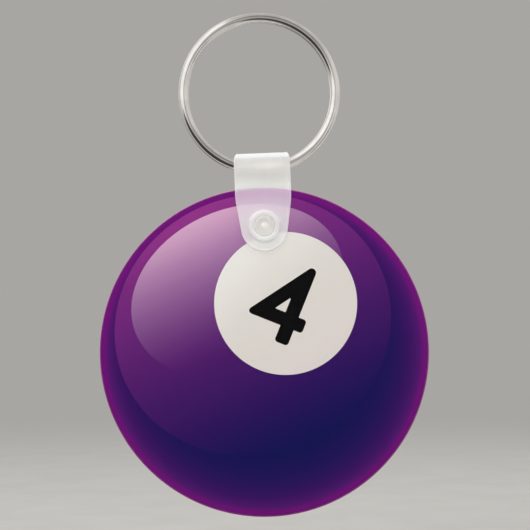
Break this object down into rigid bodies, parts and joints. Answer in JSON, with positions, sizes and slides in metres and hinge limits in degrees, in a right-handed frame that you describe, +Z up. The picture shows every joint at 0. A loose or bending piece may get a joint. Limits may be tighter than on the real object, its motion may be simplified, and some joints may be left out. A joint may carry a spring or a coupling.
{
  "type": "key ring tag",
  "caption": "Flat round key ring tag printed as a numbered pool ball, hung from a split ring by a translucent snap strap; the disc swivels on the snap.",
  "frame": {"origin": "centre of the split ring, where the tag hangs", "axes": "+Z up along the hanging tag, from the disc to the ring; +Y from the front face to the back, along the split ring's axis; +X to the right seen from the front"},
  "size_m": [0.0572, 0.0049, 0.0875],
  "materials": {
    "ring_metal": "bright nickel plate, fine drawn lines, light wear",
    "strap_plastic": "translucent milky white moulded plastic, satin",
    "core_white": "white sheet core, cut edge",
    "ink_purple": "printed field, violet rim to navy centre",
    "ink_sheen": "printed pale gloss area fading downwards",
    "ink_white": "printed white spot",
    "ink_black": "printed numeral",
    "clear_film": "clear glossy laminate film"
  },
  "bodies": {
    "ring": {"split_ring": "ring_metal"},
    "strap": {"strap_back_leg": "strap_plastic"},
    "front_leg": {"strap_front_leg": "strap_plastic"},
    "disc": {"disc_core": "core_white", "front_print_purple": "ink_purple", "front_print_sheen": "ink_sheen", "front_print_white_spot": "ink_white", "front_print_numeral": "ink_black", "front_clear_film": "clear_film", "back_print_purple": "ink_purple", "back_print_sheen": "ink_sheen", "back_print_white_spot": "ink_white", "back_print_numeral": "ink_black", "back_clear_film": "clear_film"}
  },
  "joints": [
    {"name": "strap_swing", "type": "hinge", "parent": "ring", "child": "strap", "pos_m": [0.00049, 0, -0.01266], "axis": [0.9993, 0, 0.0384], "range_deg": [-120, 120]},
    {"name": "snap_open", "type": "hinge", "parent": "strap", "child": "front_leg", "pos_m": [0.0004, 0, -0.01034], "axis": [-0.9993, 0, -0.0384], "range_deg": [0, 120]},
    {"name": "disc_swivel", "type": "hinge", "parent": "strap", "child": "disc", "pos_m": [0.00089, 0, -0.02308], "axis": [0, 1, 0], "range_deg": [-20, 20]}
  ]
}
